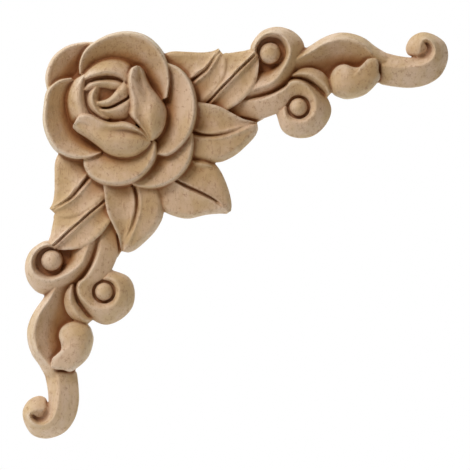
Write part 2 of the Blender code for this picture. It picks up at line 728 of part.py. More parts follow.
    strip(
        "tail",
        [
            ((59.5, 17.4), (60.4, 8.0)),
            ((62.0, 16.3), (62.2, 8.7)),
            ((62.8, 16.1), (63.0, 8.3)),
            ((66.0, 15.3), (66.5, 7.8)),
            ((69.0, 14.9), (70.0, 7.7)),
            ((71.6, 14.9), (73.6, 8.5)),
            ((73.4, 15.4), (76.6, 10.4)),
            ((74.2, 16.4), (78.2, 13.2)),
            ((74.2, 17.4), (78.6, 16.1)),
            ((73.6, 18.2), (77.6, 18.8)),
            ((72.9, 18.5), (74.8, 20.6)),
            ((72.9, 18.2), (72.0, 21.0)),
            ((73.3, 17.6), (69.6, 19.7)),
            ((73.4, 16.9), (68.5, 17.5)),
            ((73.0, 16.1), (68.9, 15.8)),
            ((72.2, 15.7), (70.2, 15.1)),
        ],
        ridge(
            [2.4, 2.4, 2.6, 2.8, 3.0, 3.2, 3.6, 3.8, 3.8, 3.8, 4.0, 4.2, 4.2, 4.0, 3.6, 3.2],
            [3.2, 3.9, 5.3, 5.6, 5.8, 5.9, 6.0, 6.0, 6.0, 5.9, 5.7, 5.5, 5.4, 5.2, 4.8, 4.2],
            [2.4],
            [0.5, 0.46, 0.44, 0.4, 0.34, 0.3, 0.26, 0.24, 0.22, 0.24, 0.3, 0.34, 0.36, 0.34, 0.34, 0.4],
            cup=1.0,
            roll=1.25,
            edge=0.15,
        ),
        (0, 0.2, 0.4, 0.7, 1),
        mirrored=True,
    )
    mound("curl_floor", circle((72.5, 16.9), 2.45, 7), (72.1, 16.75), level(CURL_EYE), 1, mirrored=True)


def join_forms():
    """Unites the forms and saws the back flat."""
    source = bpy.data.collections.new("forms")
    bpy.context.scene.collection.children.link(source)
    for name, mesh in forms:
        form = bpy.data.objects.new("form_" + name, mesh)
        form.hide_render = True
        form.display_type = "WIRE"
        source.objects.link(form)
    blank = bpy.data.meshes.new("blank")
    bm = bmesh.new()
    bmesh.ops.create_circle(bm, cap_ends=True, segments=16, radius=13.5 * PLAN)
    for v in bm.verts:
        v.co = (v.co.x, -ROSE_FLOOR, v.co.y)
    close_down(bm, 0)
    bm.to_mesh(blank)
    bm.free()
    onlay = bpy.data.objects.new("corner_onlay", blank)
    bpy.context.scene.collection.objects.link(onlay)
    unite = onlay.modifiers.new("unite", "BOOLEAN")
    unite.operation = "UNION"
    unite.operand_type = "COLLECTION"
    unite.collection = source
    saw_mesh = bpy.data.meshes.new("saw")
    bm = bmesh.new()
    bmesh.ops.create_cube(bm, size=1)
    for v in bm.verts:
        v.co = (v.co.x * 4 * LEG, (v.co.y + 0.5) * THICKNESS, v.co.z * 4 * LEG)
    bm.to_mesh(saw_mesh)
    bm.free()
    saw = bpy.data.objects.new("saw", saw_mesh)
    saw.hide_render = True
    saw.display_type = "WIRE"
    bpy.context.scene.collection.objects.link(saw)
    flat = onlay.modifiers.new("flat_back", "BOOLEAN")
    flat.operation = "DIFFERENCE"
    flat.object = saw
    return onlay


def wood():
    material = bpy.data.materials.new("carved_wood")
    material.use_nodes = True
    shader = material.node_tree.nodes["Principled BSDF"]
    shader.inputs["Base Color"].default_value = WOOD_COLOUR
    shader.inputs["Roughness"].default_value = WOOD_ROUGHNESS
    shader.inputs["Metallic"].default_value = 0.0
    return material


for leftover in list(bpy.data.objects):
    bpy.data.objects.remove(leftover)
make_petals()
make_bud()
make_leaves()
make_scrolls()
onlay = join_forms()
onlay.data.materials.append(wood())
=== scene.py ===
import math

import bmesh
import bpy
import numpy as np
from mathutils import Matrix, Vector


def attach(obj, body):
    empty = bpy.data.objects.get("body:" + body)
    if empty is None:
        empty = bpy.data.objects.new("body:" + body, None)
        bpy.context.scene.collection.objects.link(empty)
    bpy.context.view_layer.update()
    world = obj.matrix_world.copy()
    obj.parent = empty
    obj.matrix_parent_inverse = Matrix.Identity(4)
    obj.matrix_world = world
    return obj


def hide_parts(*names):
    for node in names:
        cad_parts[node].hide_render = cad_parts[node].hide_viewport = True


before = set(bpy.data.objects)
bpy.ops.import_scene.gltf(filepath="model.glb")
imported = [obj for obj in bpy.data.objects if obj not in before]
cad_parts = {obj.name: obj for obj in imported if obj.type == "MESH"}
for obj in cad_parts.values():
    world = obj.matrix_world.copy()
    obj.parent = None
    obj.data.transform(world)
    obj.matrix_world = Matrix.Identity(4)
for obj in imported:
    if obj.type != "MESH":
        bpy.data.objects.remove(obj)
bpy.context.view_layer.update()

# The six open petals round the rose, lowest first. Each is a cupped face of bare wood that rises from the
# bud to a thin rim and rolls over it to the board's edge. They are cut from one board with all the rest.
MM = 0.001
GROUND = 1.8  # height in millimetres of the board left at the bottom of the pits
BED = 0.6  # how far the forms run on behind the back before it is sawn flat
ALONG = 5  # stations between two ribs
ACROSS = 26  # stations from a band's inner edge to its outer edge

carved = bmesh.new()


def smooth(values, share):
    """The smooth curve through evenly spaced values, read at a share from 0 to 1 of its length."""
    if len(values) == 1:
        return values[0]
    place = share * (len(values) - 1)
    i = min(int(place), len(values) - 2)
    t = place - i
    b, c = values[i], values[i + 1]
    a = values[i - 1] if i else b * 2 - c
    d = values[i + 2] if i + 2 < len(values) else c * 2 - b
    return (b * 2 + (c - a) * t + (a * 2 - b * 5 + c * 4 - d) * t**2 + (b * 3 - a - c * 3 + d) * t**3) / 2


def lesser(a, b, blend):
    """The smaller of two heights, with the edge between them rounded over."""
    mix = max(0.0, min(1.0, 0.5 + (b - a) / (2 * blend)))
    return b + (a - b) * mix - blend * mix * (1 - mix)


def ridge(inner, crest, outer, crest_at, cup=1.6, roll=2.2, edge=0.35):
    """A face that rises from its inner edge to a rounded crest and rolls over to its outer edge."""

    def height(s, t, width):
        low, top, foot = smooth(inner, s), smooth(crest, s), smooth(outer, s)
        at = smooth(crest_at, s)
        rising = low + (top - low) * (t / at) ** cup
        beyond = max(0.0, (t - at) / (1 - at))
        falling = foot + (top - foot) * (1 - beyond**roll)
        return lesser(rising, falling, edge)

    return height


def close_down(bm):
    """Drops straight sides from the rim of a carved face to the bed, and shuts them off below."""
    rim = [e for e in bm.edges if e.is_boundary]
    sides = bmesh.ops.extrude_edge_only(bm, edges=rim)["geom"]
    for v in sides:
        if isinstance(v, bmesh.types.BMVert):
            v.co.y = BED * MM
    foot = [e for e in sides if isinstance(e, bmesh.types.BMEdge) and e.is_boundary]
    bmesh.ops.contextual_create(bm, geom=foot)
    bmesh.ops.recalc_face_normals(bm, faces=bm.faces)


def keep(name, bm, mirrored):
    """Adds a form to the carving, and for an arm its mirror image across the corner's diagonal as well."""
    mesh = bpy.data.meshes.new(name)
    bm.to_mesh(mesh)
    carved.from_mesh(mesh)
    if mirrored:
        for v in bm.verts:
            v.co.x, v.co.z = -v.co.z, -v.co.x
        bmesh.ops.reverse_faces(bm, faces=bm.faces)
        bm.to_mesh(mesh)
        carved.from_mesh(mesh)
    bpy.data.meshes.remove(mesh)
    bm.free()


def band(name, ribs, height, mirrored=False):
    """A form drawn by ribs: each rib has two or three plan points, from its inner to its outer edge."""
    lines = [[Vector((rib[k][0], 0, rib[k][1])) for rib in ribs] for k in range(len(ribs[0]))]
    bm = bmesh.new()
    bmesh.ops.create_grid(bm, x_segments=(len(ribs) - 1) * ALONG, y_segments=ACROSS, size=0.5)
    for v in bm.verts:
        s, t = v.co.x + 0.5, min(1.0, max(0.0, v.co.y + 0.5))
        points = [smooth(line, s) for line in lines]
        span = min(int(t * (len(points) - 1)), len(points) - 2)
        start, end = points[span], points[span + 1]
        place = start.lerp(end, t * (len(points) - 1) - span)
        rise = max(height(s, t, (end - start).length), GROUND)
        v.co = (place.x * MM, -rise * MM, place.z * MM)
    close_down(bm)
    keep(name, bm, mirrored)


band(
    "petal_back",
    [
        ((-9.5, 3.5), (-17.0, 4.0)),
        ((-9.5, 6.0), (-17.7, 8.2)),
        ((-8.5, 8.5), (-16.2, 12.5)),
        ((-7.0, 10.0), (-12.9, 15.4)),
        ((-5.5, 11.0), (-8.9, 16.5)),
        ((-4.0, 11.5), (-5.5, 16.6)),
    ],
    ridge([2.2], [4.9, 5.5, 5.7, 5.7, 5.5, 5.2], [2.8], [0.9], cup=1.8),
)
band(
    "petal_low",
    [
        ((3.0, -14.0), (4.2, -17.8)),
        ((6.0, -13.0), (8.0, -18.4)),
        ((8.5, -11.5), (11.8, -17.6)),
        ((10.0, -10.0), (15.4, -15.4)),
        ((11.0, -8.5), (17.8, -11.8)),
        ((12.5, -6.5), (18.6, -7.8)),
        ((14.0, -4.5), (18.4, -4.8)),
    ],
    ridge([4.2], [5.8, 6.4, 6.8, 7.0, 7.0, 6.7, 6.2], [3.2], [0.85], cup=1.0),
)
band(
    "petal_left",
    [
        ((-9.0, 6.0), (-11.5, 7.9)),
        ((-10.0, 4.5), (-14.6, 7.2)),
        ((-10.5, 3.0), (-17.2, 4.8)),
        ((-11.0, 1.0), (-17.9, 1.2)),
        ((-11.0, -1.5), (-18.0, -3.0)),
        ((-10.0, -3.7), (-16.8, -6.9)),
        ((-8.5, -5.2), (-14.6, -9.9)),
        ((-6.5, -6.4), (-11.0, -11.6)),
        ((-4.5, -7.4), (-7.2, -11.5)),
        ((-2.8, -8.2), (-4.0, -10.2)),
    ],
    ridge([3.4], [6.6, 7.2, 7.7, 7.9, 8.0, 8.0, 8.0, 8.0, 7.8, 7.0], [2.8], [0.87], cup=1.2),
)
band(
    "petal_bottom",
    [
        ((-5.5, -9.5), (-8.0, -11.0)),
        ((-5.0, -10.0), (-7.9, -13.3)),
        ((-4.0, -10.0), (-6.3, -16.0)),
        ((-2.0, -9.8), (-2.8, -17.8)),
        ((0.5, -9.5), (1.2, -18.0)),
        ((3.0, -9.0), (5.0, -16.9)),
        ((5.0, -8.0), (8.0, -14.2)),
        ((6.3, -7.0), (9.8, -10.7)),
        ((6.8, -6.0), (9.8, -7.2)),
    ],
    ridge(
        [5.4],
        [6.2, 7.0, 7.6, 8.0, 8.2, 8.4, 8.6, 8.7, 8.1],
        [3.8],
        [0.86, 0.86, 0.86, 0.86, 0.84, 0.8, 0.76, 0.72, 0.7],
        cup=0.8,
    ),
)
band(
    "petal_right",
    [
        ((9.5, 9.5), (11.6, 12.1)),
        ((10.5, 8.5), (14.8, 10.7)),
        ((11.0, 6.0), (17.6, 7.6)),
        ((11.0, 3.0), (19.0, 3.2)),
        ((11.0, 0.0), (19.0, -1.0)),
        ((10.3, -3.0), (17.8, -5.0)),
        ((9.3, -5.0), (15.4, -8.4)),
        ((8.5, -6.2), (12.4, -10.4)),
        ((8.0, -6.8), (9.8, -10.2)),
    ],
    ridge([4.4], [7.2, 8.0, 8.5, 8.8, 8.8, 8.5, 8.1, 7.7, 7.0], [3.6], [0.87], cup=0.8),
)
band(
    "petal_top",
    [
        ((-5.5, 7.5), (-9.6, 8.8)),
        ((-5.5, 8.5), (-9.6, 11.5)),
        ((-4.8, 9.5), (-8.4, 14.6)),
        ((-3.5, 10.0), (-5.8, 16.9)),
        ((-1.5, 10.3), (-1.9, 18.8)),
        ((1.0, 10.0), (2.5, 19.4)),
        ((3.5, 9.0), (6.6, 18.3)),
        ((5.5, 7.5), (9.9, 15.4)),
        ((7.0, 5.5), (11.8, 11.8)),
        ((8.0, 3.5), (12.4, 8.0)),
        ((8.5, 2.0), (11.9, 3.8)),
    ],
    ridge([4.0], [7.2, 8.0, 8.5, 8.8, 9.0, 9.1, 9.1, 9.0, 8.8, 8.4, 7.8], [3.0], [0.89], cup=1.1),
)

# The closed bud in the rose's middle. Two petals wrap its left and top, two tongues roll over at the lip on
# its right and bottom, and four small curls stand round the dark heart. All are cut from the same board.
RINGS = 12  # rings of points from the middle of a boss to its outline


def tongue(edge, crest, dip, swell, foot, marks):
    """A bud petal: an edge, a rolled lip, a hollow behind the lip, then a swelling back that rolls away."""

    def height(s, t, width):
        levels = [smooth(row, s) for row in (edge, crest, dip, swell)]
        at = [0.0] + [smooth(row, s) for row in marks]
        for k in range(3):
            if t <= at[k + 1]:
                x = (t - at[k]) / (at[k + 1] - at[k])
                ease = x * x * (3 - 2 * x) if k else math.sin(x * math.pi / 2)
                return levels[k] + (levels[k + 1] - levels[k]) * ease
        x = (t - at[3]) / (1 - at[3])
        low = smooth(foot, s)
        return low + (levels[3] - low) * math.sqrt(max(0.0, 1 - x**2.1))

    return height


def boss(name, outline, centre, height, mirrored=False):
    """A form drawn by its outline. Its height goes by the shares of the way out and round."""
    points = [Vector((x, 0, z)) for x, z in outline]
    loop = points[-1:] + points + points[:2]
    middle = Vector((centre[0], 0, centre[1]))
    bm = bmesh.new()
    bmesh.ops.create_uvsphere(bm, u_segments=len(points) * ALONG, v_segments=2 * RINGS, radius=1)
    below = [v for v in bm.verts if v.co.z < -0.01]
    bmesh.ops.delete(bm, geom=below, context="VERTS")
    for v in bm.verts:
        turn = (math.atan2(v.co.y, v.co.x) / math.tau) % 1
        out = min(1.0, math.hypot(v.co.x, v.co.y))
        rim = smooth(loop, (1 + turn * len(points)) / (len(loop) - 1))
        place = middle.lerp(rim, out)
        v.co = (place.x * MM, -height(out, turn) * MM, place.z * MM)
    close_down(bm)
    keep(name, bm, mirrored)


def circle(centre, radius, points=8):
    """Points round a circle."""
    turns = [math.tau * k / points for k in range(points)]
    return [(centre[0] + radius * math.cos(a), centre[1] + radius * math.sin(a)) for a in turns]


def level(height):
    """A flat floor of one height."""
    return lambda out, turn: height


def dome(edge, top, power=2.0):
    """A rounded top that falls to the heights given round its edge."""

    def height(out, turn):
        low = smooth(edge, turn)
        return low + (top - low) * math.sqrt(max(0.0, 1 - out**power))

    return height


boss("rose_floor", circle((0, 0), 13.5), (0, 0), level(3.0))
band(
    "bud_left",
    [
        ((-7.9, 8.0), (-8.4, 8.9)),
        ((-7.9, 6.8), (-10.7, 7.4)),
        ((-8.0, 5.0), (-12.0, 5.2)),
        ((-7.9, 3.0), (-12.5, 2.6)),
        ((-7.5, 1.2), (-12.2, 0.0)),
        ((-6.8, -0.3), (-11.2, -2.6)),
        ((-5.4, -1.6), (-9.2, -4.6)),
    ],
    ridge([8.8], [9.6, 10.2, 10.4, 10.4, 10.3, 10.0, 9.4], [4.2], [0.24], cup=0.7, roll=2.2),
)
band(
    "bud_top",
    [
        ((-7.7, 7.2), (-8.4, 9.2)),
        ((-6.3, 7.7), (-6.8, 10.9)),
        ((-4.4, 8.1), (-4.6, 12.4)),
        ((-2.4, 8.3), (-2.0, 13.1)),
        ((-0.4, 8.0), (0.6, 13.0)),
        ((0.9, 7.3), (2.8, 12.0)),
        ((1.7, 6.3), (4.2, 10.4)),
    ],
    ridge([8.8], [9.8, 10.5, 10.9, 11.0, 10.8, 10.4, 9.8], [4.4], [0.17], cup=0.7, roll=2.0),
)
boss("heart_floor", circle((-2.0, 2.0), 8.2), (-2.0, 2.0), level(8.3))
band(
    "heart_top",
    [
        ((-7.5, 4.6), (-8.1, 5.1)),
        ((-6.0, 5.1), (-7.1, 6.4)),
        ((-4.4, 5.5), (-5.1, 7.2)),
        ((-2.8, 5.4), (-2.5, 7.5)),
        ((-1.2, 5.0), (-0.2, 7.3)),
        ((0.2, 5.2), (1.3, 6.7)),
    ],
    ridge([8.8], [9.6, 10.2, 10.5, 10.6, 10.5, 10.2], [8.8], [0.6], cup=0.5, roll=1.8),
)
band(
    "heart_left",
    [
        ((-4.0, 5.7), (-6.0, 5.3)),
        ((-4.2, 4.6), (-6.9, 4.4)),
        ((-4.4, 3.4), (-7.3, 2.9)),
        ((-4.2, 2.2), (-7.1, 1.4)),
        ((-3.9, 0.9), (-6.2, -0.1)),
        ((-3.4, -0.2), (-4.9, -1.2)),
        ((-2.7, -0.9), (-3.5, -2.0)),
        ((-1.7, -1.3), (-2.2, -2.2)),
    ],
    ridge(
        [8.2, 8.2, 8.4, 8.8, 9.2, 9.4, 9.4, 9.2],
        [10.2, 10.7, 10.9, 10.9, 10.8, 10.5, 10.1, 9.6],
        [8.8],
        [0.55],
        cup=0.8,
        roll=1.6,
    ),
)
band(
    "heart_fold",
    [
        ((-4.7, 2.2), (-4.7, 1.3)),
        ((-3.7, 2.4), (-3.4, 0.9)),
        ((-2.6, 2.8), (-1.9, 1.05)),
        ((-1.6, 3.5), (-0.6, 1.7)),
        ((-0.7, 4.6), (0.9, 2.6)),
        ((0.4, 5.9), (2.3, 3.6)),
        ((1.3, 7.1), (2.8, 5.4)),
    ],
    ridge([9.6], [10.5, 10.9, 11.1, 11.2, 11.2, 11.0, 10.6], [9.7], [0.34], cup=0.4, roll=1.8),
)
band(
    "heart_low",
    [
        ((-4.3, 0.5), (-4.2, -0.6)),
        ((-3.4, 0.4), (-3.3, -1.3)),
        ((-2.2, 0.45), (-1.9, -1.9)),
        ((-0.7, 0.9), (-0.2, -2.2)),
        ((0.9, 1.8), (1.6, -1.9)),
        ((2.2, 2.6), (2.8, -0.8)),
        ((2.8, 3.1), (3.1, 1.0)),
    ],
    ridge([9.7], [10.2, 10.6, 10.8, 10.8, 10.7, 10.5, 10.1], [8.6], [0.2], cup=0.4, roll=1.5),
)
band(
    "bud_right",
    [
        ((4.1, 10.9), (5.0, 10.9)),
        ((2.9, 10.1), (6.1, 9.8)),
        ((2.2, 8.0), (6.9, 7.9)),
        ((2.3, 5.6), (8.2, 5.8)),
        ((2.8, 3.3), (10.1, 3.6)),
        ((2.9, 1.2), (11.7, 1.0)),
        ((2.9, -0.8), (11.8, -1.8)),
        ((4.4, -2.6), (11.1, -4.2)),
        ((6.2, -4.5), (9.9, -5.9)),
        ((7.7, -6.3), (8.5, -6.9)),
    ],
    tongue(
        edge=[9.6, 9.8, 9.9, 9.9, 9.8, 9.6, 9.4, 9.2, 9.0, 8.6],
        crest=[10.4, 11.5, 12.0, 12.0, 11.8, 11.4, 11.2, 10.8, 10.1, 9.2],
        dip=[10.2, 11.2, 11.7, 11.7, 11.3, 10.9, 10.5, 10.1, 9.8, 9.0],
        swell=[9.5, 9.4, 9.2, 9.5, 10.4, 11.4, 11.6, 11.1, 10.2, 9.1],
        foot=[7.0, 6.0, 5.6, 5.4, 5.2, 5.0, 5.0, 5.2, 5.6, 6.0],
        marks=(
            (0.2, 0.2, 0.18, 0.16, 0.14, 0.13, 0.14, 0.14),
            (0.3, 0.3, 0.28, 0.28, 0.3, 0.32, 0.34, 0.34),
            (0.72, 0.72, 0.7, 0.66, 0.58, 0.54, 0.54, 0.56),
        ),
    ),
)
band(
    "bud_bottom",
    [
        ((-10.5, -3.6), (-10.6, -4.2)),
        ((-8.9, -1.1), (-9.4, -5.3)),
        ((-6.4, -0.9), (-7.3, -6.6)),
        ((-3.8, -2.1), (-5.0, -8.2)),
        ((-1.2, -2.7), (-2.4, -10.2)),
        ((1.6, -2.4), (0.8, -11.2)),
        ((4.2, -3.2), (4.2, -10.9)),
        ((6.2, -4.8), (7.0, -9.2)),
        ((7.9, -6.8), (8.2, -7.4)),
    ],
    tongue(
        edge=[8.6, 9.4, 9.7, 9.7, 9.6, 9.6, 9.5, 9.2, 8.6],
        crest=[9.0, 10.8, 11.2, 11.2, 11.2, 11.4, 11.3, 10.6, 9.4],
        dip=[8.9, 10.5, 10.8, 10.8, 10.4, 9.9, 9.6, 9.4, 8.9],
        swell=[8.4, 9.4, 10.0, 10.7, 11.1, 11.3, 11.0, 10.1, 8.9],
        foot=[6.6, 5.8, 5.4, 5.2, 5.2, 5.2, 5.2, 5.4, 6.0],
        marks=(
            (0.16, 0.14, 0.12, 0.12, 0.13, 0.13, 0.12, 0.1, 0.1),
            (0.36, 0.34, 0.32, 0.3, 0.26, 0.24, 0.22, 0.2, 0.2),
            (0.54, 0.52, 0.52, 0.54, 0.54, 0.5, 0.46, 0.46, 0.48),
        ),
    ),
)

# The leaves that come out from under the rose: one on the corner's diagonal and three on each arm. Each has
# two halves cupped on either side of a V cut, and a broad bevel along its edges.


def blade(first, spine, second, groove, cup, cut, bevel=(1.2, 1.2), drop=(0.9, 0.9), flank=0.3):
    """A leaf's face: two cupped halves, a bevelled edge, and a V cut between low flanks on the spine."""

    def height(s, t, width):
        side = 0 if t < 0.5 else 1
        out = abs(t - 0.5) * 2
        middle, edge = smooth(spine, s), smooth((first, second)[side], s)
        face = middle + (edge - middle) * out - cup[side] * 4 * out * (1 - out)
        face -= drop[side] * max(0.0, 1 - (1 - out) * width / bevel[side]) ** 2
        depth = smooth(groove, s)
        face += min(flank, depth) * math.exp(-(((out * width - 1.2 * cut) / (0.7 * cut)) ** 2))
        return face - depth * max(0.0, 1 - out * width / cut)

    return height


band(
    "leaf_diagonal",
    [
        ((14.0, -9.0), (11.0, -14.5), (6.0, -17.0)),
        ((19.0, -10.6), (15.0, -16.5), (9.8, -20.0)),
        ((22.7, -11.3), (17.5, -17.7), (10.8, -22.9)),
        ((24.6, -13.1), (20.0, -18.7), (13.5, -24.4)),
        ((26.1, -15.9), (22.0, -19.6), (17.3, -25.1)),
        ((27.2, -18.9), (23.8, -20.6), (21.5, -24.1)),
        ((27.7, -21.4), (25.5, -22.0), (24.8, -23.7)),
        ((27.6, -23.0), (27.1, -23.3), (26.6, -23.7)),
    ],
    blade(
        [3.4, 3.6, 3.7, 3.8, 3.8, 3.6, 3.4, 3.0],
        [5.0, 5.0, 5.0, 4.9, 4.7, 4.4, 3.9, 3.2],
        [3.4, 3.6, 3.7, 3.8, 3.8, 3.6, 3.4, 3.0],
        [1.4, 1.8, 2.0, 2.0, 2.0, 1.9, 0.0, 0.0],
        cup=(0.35, 0.1),
        cut=0.4,
        bevel=(1.7, 1.7),
        drop=(1.4, 1.4),
        flank=0.15,
    ),
)
band(
    "leaf_fold",
    [
        ((17.6, -10.6), (17.8, -11.6)),
        ((18.9, -10.9), (18.9, -12.9)),
        ((20.5, -11.1), (20.3, -13.4)),
        ((21.9, -11.6), (21.9, -13.0)),
        ((22.9, -12.3), (22.8, -12.8)),
    ],
    ridge([3.2], [4.0, 4.5, 4.6, 4.4, 3.8], [3.2], [0.35], cup=0.8, roll=1.4),
)
band(
    "leaf_inner",
    [
        ((15.0, 3.5), (15.0, -3.0), (14.0, -9.0)),
        ((19.0, 2.8), (18.0, -4.3), (18.0, -10.6)),
        ((21.9, 2.4), (20.5, -5.0), (21.5, -11.3)),
        ((24.4, 1.8), (23.0, -5.05), (24.8, -11.3)),
        ((27.2, 0.4), (26.0, -4.5), (28.1, -9.7)),
        ((29.9, -0.9), (28.9, -3.5), (30.8, -7.3)),
        ((32.1, -1.4), (31.6, -2.4), (32.9, -4.9)),
        ((33.3, -1.7), (33.4, -2.2), (33.6, -3.2)),
    ],
    blade(
        [6.2, 6.4, 6.5, 6.4, 6.0, 5.4, 4.7, 4.0],
        [4.4, 4.8, 5.1, 5.3, 5.3, 5.1, 4.6, 3.9],
        [4.0, 4.2, 4.3, 4.3, 4.2, 4.0, 3.8, 3.5],
        [1.6, 1.8, 1.8, 1.6, 1.2, 0.6, 0.1, 0.0],
        cup=(1.0, -0.1),
        cut=0.62,
        bevel=(0.7, 1.6),
        drop=(0.5, 1.4),
        flank=0.35,
    ),
    mirrored=True,
)
band(
    "leaf_middle",
    [
        ((20.0, 7.0), (18.8, 0.4), (23.0, -1.6)),
        ((22.3, 10.5), (21.6, 3.1), (26.0, 0.9)),
        ((24.6, 14.4), (24.2, 6.0), (28.9, 2.9)),
        ((26.5, 14.8), (26.8, 8.8), (31.4, 5.5)),
        ((29.0, 15.2), (29.2, 11.4), (32.8, 8.2)),
        ((31.0, 15.8), (31.2, 13.4), (33.3, 11.2)),
        ((32.6, 16.1), (32.6, 15.0), (33.3, 13.6)),
    ],
    blade(
        [3.2, 3.6, 3.8, 3.8, 3.8, 3.9, 4.0],
        [3.6, 4.2, 5.0, 5.4, 5.4, 5.2, 4.7],
        [4.4, 5.0, 5.7, 5.8, 5.6, 5.3, 4.8],
        [0.6, 1.2, 1.4, 1.4, 1.4, 1.2, 0.8],
        cup=(0.1, 1.1),
        cut=0.5,
        bevel=(1.2, 1.1),
        drop=(0.8, 0.9),
        flank=0.7,
    ),
    mirrored=True,
)
band(
    "leaf_outer",
    [
        ((8.0, 12.8), (13.0, 4.6), (17.0, -0.5)),
        ((12.0, 14.7), (16.6, 7.3), (20.8, 2.9)),
        ((16.0, 14.8), (18.8, 9.0), (23.2, 5.2)),
        ((19.3, 14.75), (20.6, 10.5), (24.9, 8.0)),
        ((21.6, 15.0), (21.9, 12.3), (25.7, 11.0)),
        ((22.8, 15.4), (22.9, 13.9), (25.2, 13.6)),
        ((23.6, 15.9), (23.8, 15.5), (24.2, 15.1)),
    ],
    blade(
        [4.2, 4.3, 4.3, 4.2, 4.0, 3.8, 3.5],
        [4.6, 5.0, 5.4, 5.5, 5.4, 5.0, 4.3],
        [5.2, 5.5, 5.7, 5.8, 5.7, 5.2, 4.4],
        [1.6, 2.0, 1.9, 1.6, 1.2, 0.7, 0.2],
        cup=(0.5, 1.15),
        cut=0.62,
        bevel=(1.2, 1.1),
        drop=(0.8, 1.1),
        flank=0.4,
    ),
    mirrored=True,
)

# The scrollwork of each arm: two volutes with a ball in the eye, a husk between them, a rolled leaf with
# its bulb, and a tail that ends in a curl. Between them the board is cut down to its ground.
BALL_OUTER = (35.95, 15.0)
BALL_INNER = (43.05, 2.25)
EYE_OUTER = 3.2  # depths of the gouge round each ball, in millimetres above the back
EYE_INNER = 3.5
EYE_WALL = 2.85  # radius of the inner volute's eye
CURL_EYE = 3.5

band(
    "ground",
    [
        ((12.0, -3.0), (12.0, 13.0)),
        ((23.0, -1.5), (21.0, 14.0)),
        ((33.0, -1.7), (30.5, 15.6)),
        ((41.0, 4.5), (39.0, 16.8)),
        ((56.0, 8.0), (55.0, 16.0)),
    ],
    lambda s, t, width: GROUND,
    mirrored=True,
)
band(
    "scroll_outer",
    [
        ((29.6, 8.6), (29.0, 3.2)),
        ((32.9, 10.4), (33.2, 4.5)),
        ((35.4, 10.7), (36.9, 5.7)),
        ((37.4, 12.1), (40.4, 7.9)),
        ((39.0, 13.6), (42.6, 11.2)),
        ((39.5, 15.3), (44.2, 14.6)),
        ((39.0, 17.0), (43.7, 18.1)),
        ((37.8, 18.3), (41.0, 20.6)),
        ((36.1, 18.7), (37.4, 21.4)),
        ((34.4, 18.2), (34.1, 20.4)),
        ((33.3, 17.1), (32.1, 18.3)),
        ((32.8, 15.6), (31.2, 16.1)),
        ((33.2, 14.2), (32.2, 14.4)),
    ],
    ridge(
        [2.4, 2.2, 2.0, 2.2, 3.0, 3.4, 3.6, 3.6, 3.6, 3.6, 3.6, 3.6, 4.0],
        [4.4, 5.2, 5.9, 6.4, 6.7, 6.8, 6.8, 6.6, 6.4, 6.2, 5.9, 5.5, 4.8],
        [2.8, 2.6, 2.4, 2.4, 2.6, 2.8, 2.8, 2.8, 2.8, 2.8, 2.8, 3.0, 3.4],
        [0.6, 0.62, 0.56, 0.38, 0.26, 0.22, 0.24, 0.3, 0.36, 0.36, 0.34, 0.34, 0.4],
        cup=0.9,
        roll=1.45,
        edge=0.6,
    ),
    mirrored=True,
)
boss("eye_floor_outer", circle((36.1, 15.9), 3.6, 7), (36.6, 16.1), level(EYE_OUTER), mirrored=True)
boss("ball_outer", circle(BALL_OUTER, 2.5), BALL_OUTER, dome([3.6], 6.3, 2.2), mirrored=True)
x, z = BALL_INNER
turn = [
    (x + EYE_WALL * math.cos(math.radians(a)), z + EYE_WALL * math.sin(math.radians(a)))
    for a in (160, 125, 95, 60, 25, -10, -45, -80, -115, -148, -185)
]
band(
    "scroll_inner",
    [
        ((25.0, 0.4), (25.0, 1.0)),
        ((29.5, -0.3), (29.5, 3.9)),
        ((33.5, -0.8), (33.5, 4.6)),
        ((36.6, 0.1), (37.0, 5.8)),
        ((39.0, 1.4), (39.9, 7.6)),
        (turn[0], (41.0, 8.9)),
        (turn[1], (43.0, 9.2)),
        (turn[2], (45.3, 8.5)),
        (turn[3], (47.7, 6.9)),
        (turn[4], (49.9, 4.8)),
        (turn[5], (51.0, 1.5)),
        (turn[6], (49.5, -2.1)),
        (turn[7], (46.5, -4.6)),
        (turn[8], (42.6, -5.0)),
        (turn[9], (39.4, -3.4)),
        (turn[10], (37.9, 0.4)),
    ],
    ridge(
        [2.6, 2.6, 2.8, 3.2, 3.8, 4.4, 4.6, 4.6, 4.6, 4.6, 4.6, 4.6, 4.6, 4.6, 4.4, 4.0],
        [3.0, 3.8, 4.9, 5.6, 6.0, 6.2, 6.3, 6.3, 6.2, 6.1, 6.0, 5.9, 5.8, 5.7, 5.5, 4.9],
        [2.8, 2.8, 2.6, 2.4, 2.4, 2.4, 2.4, 2.4, 2.6, 2.6, 2.6, 2.6, 2.6, 2.6, 2.6, 2.8],
        [0.8, 0.8, 0.8, 0.82, 0.82, 0.82, 0.8, 0.7, 0.5, 0.32, 0.22, 0.2, 0.2, 0.22, 0.24, 0.26],
        cup=0.8,
        roll=1.5,
    ),
    mirrored=True,
)
boss("eye_floor_inner", circle((43.7, 2.0), 3.9, 7), (44.0, 1.9), level(EYE_INNER), mirrored=True)
boss("ball_inner", circle(BALL_INNER, 2.17), BALL_INNER, dome([3.9], 6.1, 2.2), mirrored=True)
band(
    "husk",
    [
        ((41.3, 9.4), (41.6, 10.3)),
        ((43.5, 9.25), (43.4, 11.4)),
        ((45.7, 8.5), (46.0, 11.7)),
        ((47.8, 7.0), (48.5, 10.8)),
        ((49.2, 5.7), (50.3, 8.9)),
        ((49.7, 4.6), (51.2, 6.3)),
    ],
    ridge(
        [2.6],
        [4.6, 5.6, 6.1, 6.1, 5.6, 4.7],
        [3.6, 4.0, 4.2, 4.1, 3.7, 3.3],
        [0.42],
        cup=0.45,
        roll=1.6,
    ),
    mirrored=True,
)
